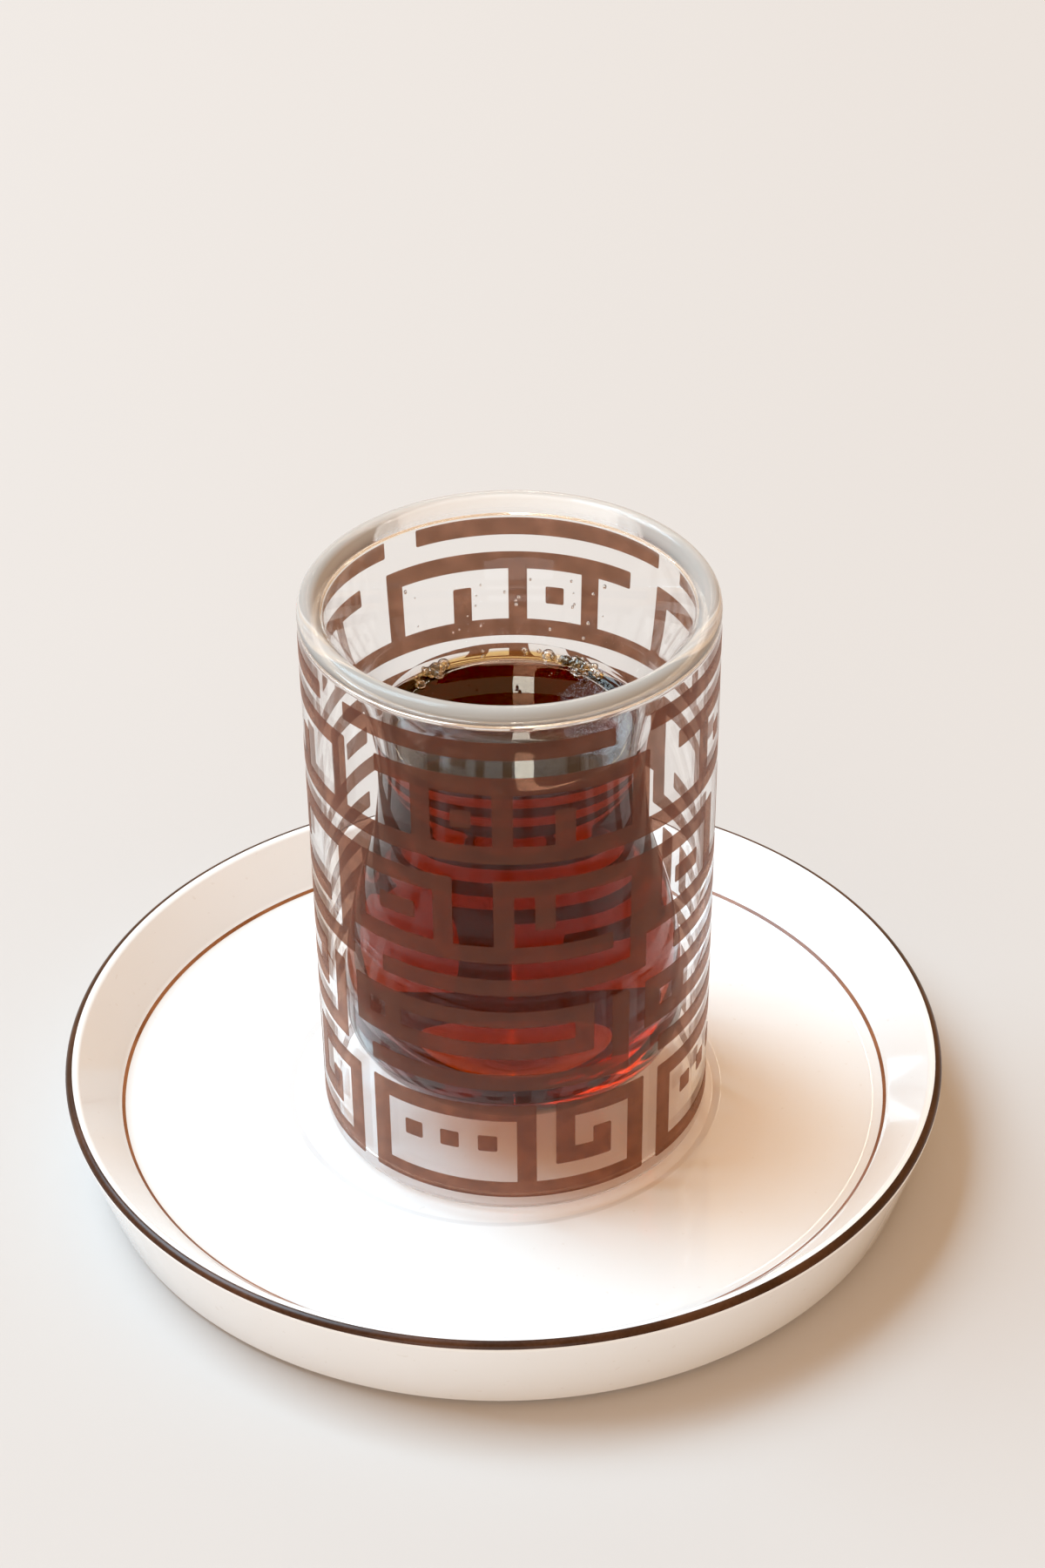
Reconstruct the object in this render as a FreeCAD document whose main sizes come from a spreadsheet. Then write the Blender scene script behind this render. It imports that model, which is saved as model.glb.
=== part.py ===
import FreeCAD, Part
import math
import os

import Sketcher

# A double-walled tea glass on its porcelain saucer, filled with tea.
#
# The glass is one piece: a straight outer wall, and a waisted vessel fused to it at
# the lip. Air is sealed between the two. The tea fills the vessel to its level, and
# the glass stands in the shallow well of the saucer.
#
# Millimetres, +Z up. The origin is the middle of the saucer's foot, on the table.
# Each body is drawn as a half outline in its own XZ plane and turned about its Z axis.
# The glass and the tea measure heights from the underside of the glass.

SIZES = {
    # the glass: its outer wall
    "glass_height": 91.9,
    "base_radius": 29.9,
    "wall_flare": 0.85,  # how much wider the rim is than the base
    "wall_thickness": 1.8,
    "lip_radius": 1.5,
    "base_thickness": 2.4,
    "base_corner": 2.2,
    "punt_inset": 6.9,  # the slight hollow under the base, in from the wall
    "punt_depth": 0.5,
    # the glass: its inner vessel
    "belly_gap": 1.9,  # air between the belly and the outer wall
    "bottom_gap": 1.8,  # air between the vessel's bottom and the base
    "belly_height": 22.0,
    "belly_thickness": 1.8,
    "bottom_thickness": 4.2,
    "heel_radius": 10.0,
    "heel_inner_radius": 8.5,
    "waist_radius": 18.5,  # inside
    "waist_thickness": 1.4,
    "waist_reach": 18.2,  # from the waist down to where the belly's curve takes over
    "waist_drop": 29.4,  # from the rim down to the narrowest place
    "air_corner": 1.2,
    "crotch_radius": 0.7,  # the round end of the air space under the lip
    # the tea
    "fill_drop": 23.1,  # from the rim down to the tea
    # the saucer
    "saucer_radius": 69.0,
    "saucer_height": 16.2,
    "floor_height": 8.1,
    "rim_width": 9.4,  # from the saucer's edge in to the flat floor
    "underside_height": 3.0,
    "foot_inset": 6.4,  # from the saucer's edge in to the foot
    "foot_width": 6.6,
    "foot_slope": 1.6,
    "side_lean": 4.7,  # how far the outer side leans in, down to the foot
    "foot_step": 1.1,
    "rim_thickness": 2.3,
    "rim_lip": 1.1,
    "cove_radius": 4.0,
    "well_room": 3.1,  # from the foot of the glass, stood in the middle, to the well's edge
    "well_depth": 0.35,
    "well_slope": 1.2,
    # where the glass stands on the saucer
    "glass_offset_x": 1.8,
    "glass_offset_y": -1.15,
}

ABOVE_RIM = 5.0  # how far cutting outlines pass the rim
START, END, CENTRE = 1, 2, 3  # the points of a line or arc in a sketch
ORIGIN = (-1, 1)
UP_AXIS = -2

# Places that several outlines share, as sums of sizes.
RIM = ("base_radius", "wall_flare")
LIP_ACROSS = (*RIM, "-lip_radius")
LIP_HEIGHT = ("glass_height", "-lip_radius")
WAIST_HEIGHT = ("glass_height", "-waist_drop")
OUTER_BOTTOM = ("base_thickness", "bottom_gap")
OUTER_BELLY = ("base_radius", "-wall_thickness", "-belly_gap")
WELL_FLOOR = ("floor_height", "-well_depth")


def cell(name):
    """The sheet's reference for a size."""
    return "Sizes." + name


def total(sizes, names):
    """The sum of some sizes, those with a minus sign taken away."""
    return sum(-sizes[n[1:]] if n[0] == "-" else sizes[n] for n in names)


def formula(names):
    """The same sum as an expression on the sheet."""
    terms = [f" - {cell(n[1:])}" if n[0] == "-" else f" + {cell(n)}" for n in names]
    return "".join(terms)[3:]


def make_sheet(doc):
    sheet = doc.addObject("Spreadsheet::Sheet", "Sizes")
    for row, (name, value) in enumerate(SIZES.items(), start=1):
        sheet.set(f"A{row}", name)
        sheet.set(f"B{row}", str(value))
        sheet.setAlias(f"B{row}", name)
    doc.recompute()
    return sheet


class Outline:
    """A closed half outline, drawn step by step in a body's XZ plane."""

    def __init__(self, body, name, start):
        self.sketch = body.newObject("Sketcher::SketchObject", name)
        planes = body.Origin.OriginFeatures
        plane = [p for p in planes if p.Role == "XZ_Plane"][0]
        self.sketch.AttachmentSupport = [(plane, "")]
        self.sketch.MapMode = "FlatFace"
        self.first = start
        self.at = start
        self.steps = []  # (geometry number, point it starts at, point it ends at)

    def _join(self, geometry, begins, ends, smooth):
        number = self.sketch.addGeometry(geometry, False)
        if self.steps:
            last, _, tail = self.steps[-1]
            kind = "Tangent" if smooth else "Coincident"
            self.sketch.addConstraint(Sketcher.Constraint(kind, last, tail, number, begins))
        self.steps.append((number, begins, ends))
        return number

    def line(self, point, smooth=False):
        a = FreeCAD.Vector(*self.at, 0)
        b = FreeCAD.Vector(*point, 0)
        self.at = point
        return self._join(Part.LineSegment(a, b), START, END, smooth)

    def arc(self, centre, point, left=True, smooth=True):
        """An arc about centre to point; left is True where it turns anticlockwise."""
        radius = math.dist(centre, point)
        angles = [math.atan2(p[1] - centre[1], p[0] - centre[0]) for p in (self.at, point)]
        circle = Part.Circle(FreeCAD.Vector(*centre, 0), FreeCAD.Vector(0, 0, 1), radius)
        self.at = point
        if left:
            return self._join(Part.ArcOfCircle(circle, *angles), START, END, smooth)
        return self._join(Part.ArcOfCircle(circle, *reversed(angles)), END, START, smooth)

    def close(self):
        """Back to the first point along the axis of turning."""
        number = self.line(self.first)
        first, begins, _ = self.steps[0]
        self.sketch.addConstraint(Sketcher.Constraint("Coincident", number, END, first, begins))
        self.sketch.addConstraint(Sketcher.Constraint("PointOnObject", number, START, UP_AXIS))
        self.sketch.addConstraint(Sketcher.Constraint("PointOnObject", number, END, UP_AXIS))

    def rule(self, kind, *where):
        """A constraint without a size, such as Horizontal."""
        self.sketch.addConstraint(Sketcher.Constraint(kind, *where))

    def start_of(self, number):
        return [begins for n, begins, _ in self.steps if n == number][0]

    def end_of(self, number):
        return [ends for n, _, ends in self.steps if n == number][0]

    def _size(self, kind, where, value, name, formula):
        index = self.sketch.addConstraint(Sketcher.Constraint(kind, *where, value))
        self.sketch.renameConstraint(index, name)
        self.sketch.setExpression("Constraints." + name, formula)

    def across(self, name, number, point, formula):
        """Ties a point's distance from the axis to the sheet."""
        value = self.sketch.getPoint(number, point).x
        self._size("DistanceX", (*ORIGIN, number, point), value, name, formula)

    def height(self, name, number, point, formula):
        """Ties a point's height to the sheet."""
        value = self.sketch.getPoint(number, point).y
        self._size("DistanceY", (*ORIGIN, number, point), value, name, formula)

    def radius(self, name, number, formula):
        value = self.sketch.Geometry[number].Radius
        self._size("Radius", (number,), value, name, formula)


def turn(body, outline, kind, name):
    """Turns an outline about the body's Z axis: a Revolution adds, a Groove cuts."""
    feature = body.newObject("PartDesign::" + kind, name)
    feature.Profile = outline.sketch
    feature.ReferenceAxis = (outline.sketch, ["V_Axis"])
    feature.Angle = 360.0
    outline.sketch.Visibility = False
    return feature


def tangent_right(low, low_radius, high, high_radius):
    """The ends of the line that touches two circles on their right side."""
    run = math.dist(low, high)
    lean = math.atan2(high[0] - low[0], high[1] - low[1])
    tilt = math.asin((low_radius - high_radius) / run)
    across, up = math.cos(lean - tilt), -math.sin(lean - tilt)
    return tuple((c[0] + r * across, c[1] + r * up)
                 for c, r in ((low, low_radius), (high, high_radius)))


class Vessel:
    """One skin of the waisted vessel: tangent arcs from its bottom up to its flare.

    The heel and belly arcs meet at the belly's height and the waist and flare arcs at
    the waist's height, where the skin runs straight up.
    """

    def __init__(self, bottom, belly, belly_height, heel, waist, waist_height, waist_reach):
        self.bottom = (0.0, bottom)
        self.belly = (belly, belly_height)
        self.waist = (waist, waist_height)
        self.heel_centre = (belly - heel, belly_height)
        rise = belly_height - bottom
        bowl = (self.heel_centre[0] ** 2 + rise ** 2 - heel ** 2) / (2 * (rise - heel))
        self.bowl_centre = (0.0, bottom + bowl)
        self.heel_start = self._beyond(self.bowl_centre, self.heel_centre, heel)
        narrowing, climb = belly - waist, waist_height - belly_height
        both_curves = (narrowing ** 2 + climb ** 2) / (2 * narrowing)
        waist_curve = both_curves * waist_reach / climb
        belly_curve = both_curves - waist_curve
        self.belly_centre = (belly - belly_curve, belly_height)
        self.waist_centre = (waist + waist_curve, waist_height)
        self.waist_start = self._beyond(self.belly_centre, self.waist_centre, -waist_curve)

    @staticmethod
    def _beyond(start, centre, distance):
        """The point past centre, on the line from start."""
        run = math.dist(start, centre)
        return tuple(c + (c - s) * distance / run for s, c in zip(start, centre))


def draw_vessel(outline, skin, flare_centre, flare_end):
    """Draws a skin upwards from the axis."""
    bowl = outline.arc(skin.bowl_centre, skin.heel_start)
    heel = outline.arc(skin.heel_centre, skin.belly)
    belly = outline.arc(skin.belly_centre, skin.waist_start)
    waist = outline.arc(skin.waist_centre, skin.waist, left=False)
    flare = outline.arc(flare_centre, flare_end, left=False)
    outline.rule("PointOnObject", bowl, CENTRE, UP_AXIS)
    return bowl, heel, belly, waist, flare


def tie_vessel(outline, arcs, bottom, belly, heel_radius, waist):
    """Ties a skin to sums of sizes. Tangency sets what is left."""
    bowl, heel, _, waist_arc, _ = arcs
    top = outline.end_of(waist_arc)
    outline.height("Bottom", bowl, START, formula(bottom))
    outline.across("Belly", heel, END, formula(belly))
    outline.height("BellyHeight", heel, END, cell("belly_height"))
    outline.height("HeelCentre", heel, CENTRE, cell("belly_height"))
    outline.radius("Heel", heel, formula(heel_radius))
    outline.across("Waist", waist_arc, top, formula(waist))
    outline.height("WaistHeight", waist_arc, top, formula(WAIST_HEIGHT))
    outline.height("WaistCentre", waist_arc, CENTRE, formula(WAIST_HEIGHT))
    outline.height("WaistReach", waist_arc, outline.start_of(waist_arc),
                   formula((*WAIST_HEIGHT, "-waist_reach")))


class GlassForm:
    """The places that the glass and the tea share, worked out from the sheet."""

    def __init__(self, sheet):
        s = {name: sheet.get(name) for name in SIZES}
        self.s = s
        self.rim_radius = total(s, RIM)
        self.lip_centre = (total(s, LIP_ACROSS), total(s, LIP_HEIGHT))
        self.waist_height = total(s, WAIST_HEIGHT)
        bottom, belly = total(s, OUTER_BOTTOM), total(s, OUTER_BELLY)
        self.outer = Vessel(bottom, belly, s["belly_height"], s["heel_radius"],
                            s["waist_radius"] + s["waist_thickness"],
                            self.waist_height, s["waist_reach"])
        self.inner = Vessel(bottom + s["bottom_thickness"], belly - s["belly_thickness"],
                            s["belly_height"], s["heel_inner_radius"], s["waist_radius"],
                            self.waist_height, s["waist_reach"])
        self._flare()
        self._crotch()

    def _flare(self):
        """The flare inside: tangent at the waist and to the round of the lip."""
        lip = self.s["lip_radius"]
        spread = self.lip_centre[0] - self.s["waist_radius"]
        rise = self.lip_centre[1] - self.waist_height
        self.flare = (spread ** 2 + rise ** 2 - lip ** 2) / (2 * (spread - lip))
        self.flare_centre = (self.s["waist_radius"] + self.flare, self.waist_height)
        run = math.dist(self.flare_centre, self.lip_centre)
        self.lip_inside = tuple(c + (c - f) * lip / run
                                for f, c in zip(self.flare_centre, self.lip_centre))

    def _crotch(self):
        """The round top of the air space, between the flare and the outer wall."""
        radius = self.s["crotch_radius"]
        flare = self.flare - self.s["waist_thickness"]
        across = self.rim_radius - self.s["wall_thickness"] - radius
        spread = self.flare_centre[0] - across
        height = self.waist_height + math.sqrt((flare - radius) ** 2 - spread ** 2)
        self.crotch_centre = (across, height)
        run = math.dist(self.flare_centre, self.crotch_centre)
        self.crotch_inside = tuple(c + (c - f) * radius / run
                                   for f, c in zip(self.flare_centre, self.crotch_centre))


def hollow_outline(body, form):
    """The drinking space, from its bottom to above the rim."""
    top = form.s["glass_height"] + ABOVE_RIM
    lip_top = (form.lip_centre[0], form.s["glass_height"])
    outline = Outline(body, body.Name + "HollowOutline", form.inner.bottom)
    arcs = draw_vessel(outline, form.inner, form.flare_centre, form.lip_inside)
    lip = outline.arc(form.lip_centre, lip_top, left=False)
    rise = outline.line((lip_top[0], top))
    lid = outline.line((0.0, top))
    outline.close()
    tie_vessel(outline, arcs, (*OUTER_BOTTOM, "bottom_thickness"),
               (*OUTER_BELLY, "-belly_thickness"), ("heel_inner_radius",),
               ("waist_radius",))
    tie_lip(outline, lip)
    outline.rule("Vertical", rise)
    outline.rule("Horizontal", lid)
    outline.across("LipTop", lip, outline.end_of(lip), formula(LIP_ACROSS))
    outline.height("AboveRim", rise, END, f"{cell('glass_height')} + {ABOVE_RIM}")
    return outline


def tie_lip(outline, lip):
    outline.radius("Lip", lip, cell("lip_radius"))
    outline.across("LipCentre", lip, CENTRE, formula(LIP_ACROSS))
    outline.height("LipHeight", lip, CENTRE, formula(LIP_HEIGHT))


def outer_outline(body, form):
    """The outside of the glass: hollowed base, round corner, wall and lip."""
    s = form.s
    corner_centre = (s["base_radius"] - s["base_corner"], s["base_corner"])
    wall_start, wall_end = tangent_right(corner_centre, s["base_corner"],
                                         form.lip_centre, s["lip_radius"])
    punt_radius = s["base_radius"] - s["punt_inset"]
    punt = (punt_radius ** 2 + s["punt_depth"] ** 2) / (2 * s["punt_depth"])
    outline = Outline(body, "OutsideOutline", (0.0, s["punt_depth"]))
    hollow = outline.arc((0.0, s["punt_depth"] - punt), (punt_radius, 0.0), left=False)
    foot = outline.line((corner_centre[0], 0.0))
    corner = outline.arc(corner_centre, wall_start)
    outline.line(wall_end, smooth=True)
    lip = outline.arc(form.lip_centre, (form.lip_centre[0], s["glass_height"]))
    top = outline.line((0.0, s["glass_height"]))
    outline.close()
    outline.rule("PointOnObject", hollow, CENTRE, UP_AXIS)
    outline.rule("PointOnObject", foot, START, -1)
    outline.rule("Horizontal", foot)
    outline.rule("Horizontal", top)
    outline.height("PuntDepth", hollow, outline.start_of(hollow), cell("punt_depth"))
    outline.across("Punt", foot, START, formula(("base_radius", "-punt_inset")))
    outline.radius("Corner", corner, cell("base_corner"))
    outline.across("CornerCentre", corner, CENTRE, formula(("base_radius", "-base_corner")))
    tie_lip(outline, lip)
    outline.across("LipTop", lip, END, formula(LIP_ACROSS))
    return outline


def air_outline(body, form):
    """The sealed air between the outer wall and the vessel."""
    s = form.s
    corner = s["air_corner"]
    corner_centre = (s["base_radius"] - s["wall_thickness"] - corner,
                     s["base_thickness"] + corner)
    wall_start, wall_end = tangent_right(corner_centre, corner,
                                         form.crotch_centre, s["crotch_radius"])
    outline = Outline(body, "AirOutline", form.outer.bottom)
    arcs = draw_vessel(outline, form.outer, form.flare_centre, form.crotch_inside)
    crotch = outline.arc(form.crotch_centre, wall_end, left=False)
    outline.line(wall_start, smooth=True)
    round_corner = outline.arc(corner_centre, (corner_centre[0], s["base_thickness"]), left=False)
    base = outline.line((0.0, s["base_thickness"]), smooth=True)
    outline.close()
    tie_vessel(outline, arcs, OUTER_BOTTOM, OUTER_BELLY, ("heel_radius",),
               ("waist_radius", "waist_thickness"))
    outline.radius("Crotch", crotch, cell("crotch_radius"))
    outline.across("CrotchCentre", crotch, CENTRE,
                   formula((*RIM, "-wall_thickness", "-crotch_radius")))
    outline.radius("Flare", arcs[-1], flare_formula())
    outline.radius("AirCorner", round_corner, cell("air_corner"))
    outline.across("AirCornerCentre", round_corner, CENTRE,
                   formula(("base_radius", "-wall_thickness", "-air_corner")))
    outline.height("BaseTop", base, END, cell("base_thickness"))
    return outline


def flare_formula():
    """The vessel's outer flare radius: its inner one, less the wall."""
    spread = f"({formula((*LIP_ACROSS, '-waist_radius'))})"
    rise = f"({formula(('waist_drop', '-lip_radius'))})"
    lip = cell("lip_radius")
    inner = f"({spread}^2 + {rise}^2 - {lip}^2) / (2 * ({spread} - {lip}))"
    return f"{inner} - {cell('waist_thickness')}"


def place_on_saucer(body):
    """Stands a body in the saucer's well, a little off its middle."""
    body.setExpression("Placement.Base.x", cell("glass_offset_x"))
    body.setExpression("Placement.Base.y", cell("glass_offset_y"))
    body.setExpression("Placement.Base.z", formula(WELL_FLOOR))


def make_glass(doc, form):
    body = doc.addObject("PartDesign::Body", "Glass")
    body.Label = "glass"
    turn(body, outer_outline(body, form), "Revolution", "GlassOutside")
    turn(body, hollow_outline(body, form), "Groove", "DrinkingSpace")
    turn(body, air_outline(body, form), "Groove", "AirSpace")
    place_on_saucer(body)
    return body


def above_tea_outline(body, form):
    """All that lies above the tea's level."""
    level = form.s["glass_height"] - form.s["fill_drop"]
    top = form.s["glass_height"] + 2 * ABOVE_RIM
    reach = form.rim_radius + ABOVE_RIM
    outline = Outline(body, "AboveTeaOutline", (0.0, level))
    surface = outline.line((reach, level))
    side = outline.line((reach, top))
    lid = outline.line((0.0, top))
    outline.close()
    outline.rule("Horizontal", surface)
    outline.rule("Vertical", side)
    outline.rule("Horizontal", lid)
    outline.height("Level", surface, START, formula(("glass_height", "-fill_drop")))
    outline.height("Top", side, END, f"{cell('glass_height')} + {2 * ABOVE_RIM}")
    outline.across("Reach", side, END, f"{formula(RIM)} + {ABOVE_RIM}")
    return outline


def make_tea(doc, form):
    body = doc.addObject("PartDesign::Body", "Tea")
    body.Label = "tea"
    turn(body, hollow_outline(body, form), "Revolution", "FilledVessel")
    turn(body, above_tea_outline(body, form), "Groove", "TeaLevel")
    place_on_saucer(body)
    return body


def saucer_outline(body, s):
    """The saucer's section, with square corners that the fillets round."""
    edge = ("saucer_radius",)
    foot = (*edge, "-foot_inset", "-foot_width")
    well = ("base_radius", "well_room")
    corners = [  # name, and the sizes that add up to its distance across and its height
        ("RecessEdge", (*foot, "-foot_slope"), ("underside_height",)),
        ("FootInside", foot, ()),
        ("FootOutside", foot[:2], ()),
        ("SideStart", (*edge, "-side_lean"), ("foot_step",)),
        ("RimOutside", edge, ("saucer_height",)),
        ("RimInside", (*edge, "-rim_thickness"), ("saucer_height",)),
        ("Cove", (*edge, "-rim_width"), ("floor_height",)),
        ("WellEdge", (*well, "well_slope"), ("floor_height",)),
        ("Well", well, WELL_FLOOR),
    ]
    outline = Outline(body, "SaucerOutline", (0.0, s["underside_height"]))
    for name, across, height in corners:
        number = outline.line((total(s, across), total(s, height)))
        outline.across(name, number, END, formula(across))
        if height:
            outline.height(name + "Height", number, END, formula(height))
        else:
            outline.rule("PointOnObject", number, END, -1)
    outline.rule("Horizontal", 0)
    floor = outline.line((0.0, total(s, WELL_FLOOR)))
    outline.rule("Horizontal", floor)
    outline.close()
    return outline


def edge_at(shape, across, height):
    """The name of the round edge at a distance from the axis and a height."""
    for number, edge in enumerate(shape.Edges, start=1):
        curve = edge.Curve
        if not isinstance(curve, Part.Circle):
            continue
        if abs(curve.Radius - across) + abs(curve.Center.z - height) < 1e-4:
            return f"Edge{number}"
    raise ValueError(f"no round edge at {across:.2f}, {height:.2f}")


def round_edges(doc, body, name, size, places):
    """Rounds the edges at places by one size of the sheet."""
    doc.recompute()
    base = body.Tip
    fillet = body.newObject("PartDesign::Fillet", name)
    fillet.Base = (base, [edge_at(base.Shape, *place) for place in places])
    fillet.setExpression("Radius", cell(size))
    doc.recompute()


def make_saucer(doc, s):
    body = doc.addObject("PartDesign::Body", "Saucer")
    body.Label = "saucer"
    turn(body, saucer_outline(body, s), "Revolution", "SaucerForm")
    round_edges(doc, body, "RimRound", "rim_lip",
                [(s["saucer_radius"], s["saucer_height"]),
                 (s["saucer_radius"] - s["rim_thickness"], s["saucer_height"])])
    round_edges(doc, body, "CoveRound", "cove_radius",
                [(s["saucer_radius"] - s["rim_width"], s["floor_height"])])
    return body


def check(doc, bodies):
    """Stops if any object failed or any body is not one sound solid."""
    for thing in doc.Objects:
        if {"Invalid", "Error"} & set(thing.State):
            raise RuntimeError(f"{thing.Name}: {thing.State}")
    for body in bodies:
        shape = body.Shape
        if shape.isNull() or not shape.isValid() or len(shape.Solids) != 1:
            raise RuntimeError(f"{body.Label} is not one sound solid")


def main():
    doc = FreeCAD.newDocument("TeaGlass")
    sheet = make_sheet(doc)
    form = GlassForm(sheet)
    bodies = [make_saucer(doc, form.s), make_glass(doc, form), make_tea(doc, form)]
    doc.recompute()
    check(doc, bodies)
    os.makedirs("parts", exist_ok=True)
    for body in bodies:
        body.Shape.exportStep(f"parts/{body.Label}.step")
        box = body.Shape.BoundBox
        print(f"{body.Label}: {body.Shape.Volume / 1000:.2f} cm3, "
              f"{box.XLength:.1f} x {box.YLength:.1f} x {box.ZLength:.1f} mm, "
              f"from z {box.ZMin:.2f} to {box.ZMax:.2f}")


main()
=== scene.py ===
"""The looks of a double-walled tea glass, filled with black tea, on its porcelain saucer.

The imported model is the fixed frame. Each sub-assembly below is a class that builds its
meshes round it and dresses them. All lengths are in metres unless a name says otherwise.
"""

import sys

import logging
import math
import random
from collections import Counter
from dataclasses import dataclass
from enum import Enum
from typing import Callable, Iterator, Optional, Union

import bpy
from mathutils import Matrix, Vector


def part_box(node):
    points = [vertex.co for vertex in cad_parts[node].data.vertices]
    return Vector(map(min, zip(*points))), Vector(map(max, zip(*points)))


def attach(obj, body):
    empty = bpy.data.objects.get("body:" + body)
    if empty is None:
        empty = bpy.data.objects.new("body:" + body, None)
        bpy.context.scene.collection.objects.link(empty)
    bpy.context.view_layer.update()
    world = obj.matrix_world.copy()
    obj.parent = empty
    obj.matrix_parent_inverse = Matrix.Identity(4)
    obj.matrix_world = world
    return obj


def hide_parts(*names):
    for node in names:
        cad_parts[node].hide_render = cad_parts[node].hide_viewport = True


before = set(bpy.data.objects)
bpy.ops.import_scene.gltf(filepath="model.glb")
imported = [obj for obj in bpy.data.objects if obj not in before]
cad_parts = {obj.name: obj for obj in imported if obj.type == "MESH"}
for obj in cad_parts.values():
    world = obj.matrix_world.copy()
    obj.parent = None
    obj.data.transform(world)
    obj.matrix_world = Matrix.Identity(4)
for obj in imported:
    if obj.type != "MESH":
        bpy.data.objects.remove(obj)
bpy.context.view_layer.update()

MM = 0.001
TAU = math.tau
UP = Vector((0.0, 0.0, 1.0))
WHITE = (1.0, 1.0, 1.0)

LOG = logging.getLogger("tea_glass")

Piece = bpy.types.Object
Material = bpy.types.Material
Point = tuple[float, float]  # across from the axis, and height
Span = tuple[float, float]  # from one value to another
Place = tuple[float, float, float]
Colour = tuple[float, float, float]
Value = Union["Wire", float, int]


class Slot(Enum):
    """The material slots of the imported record."""

    PORCELAIN = "porcelain"
    GLASS = "glass"
    TEA = "tea"
    ENAMEL = "brown_enamel"


# ---- Shader maths ----


class Wire:
    """One output socket. Maths on it adds the nodes that work it out."""

    def __init__(self, board: "Board", socket: Optional[bpy.types.NodeSocket]) -> None:
        """Keeps the socket and the board that it is on."""
        self.board = board
        self.socket = socket

    def _maths(self, operation: str, a: Value, b: Value) -> "Wire":
        """The result of one Math node."""
        return self.board.node("ShaderNodeMath", {"operation": operation}, {0: a, 1: b})

    def __add__(self, other: Value) -> "Wire":
        """The sum."""
        return self._maths("ADD", self, other)

    __radd__ = __add__

    def __sub__(self, other: Value) -> "Wire":
        """The difference."""
        return self._maths("SUBTRACT", self, other)

    def __rsub__(self, other: Value) -> "Wire":
        """The difference, the other way round."""
        return self._maths("SUBTRACT", other, self)

    def __mul__(self, other: Value) -> "Wire":
        """The product."""
        return self._maths("MULTIPLY", self, other)

    __rmul__ = __mul__

    def either(self, other: Value) -> "Wire":
        """The larger of the two."""
        return self._maths("MAXIMUM", self, other)

    def fade(self, low: float, high: float, at_low: float = 0.0, at_high: float = 1.0) -> "Wire":
        """Runs smoothly from one value to another as this value goes from low to high.

        Args:
            low: where the change begins.
            high: where the change ends.
            at_low: the value up to low.
            at_high: the value from high on.

        Returns:
            The faded value.
        """
        settings = {"interpolation_type": "SMOOTHSTEP"}
        sockets = {"Value": self, "From Min": low, "From Max": high,
                   "To Min": at_low, "To Max": at_high}
        return self.board.node("ShaderNodeMapRange", settings, sockets)


def with_alpha(value: Union[Wire, Colour]) -> Union[Wire, tuple]:
    """A colour with its alpha, or the wire as it is."""
    return value if isinstance(value, Wire) else (*value, 1.0)


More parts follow.
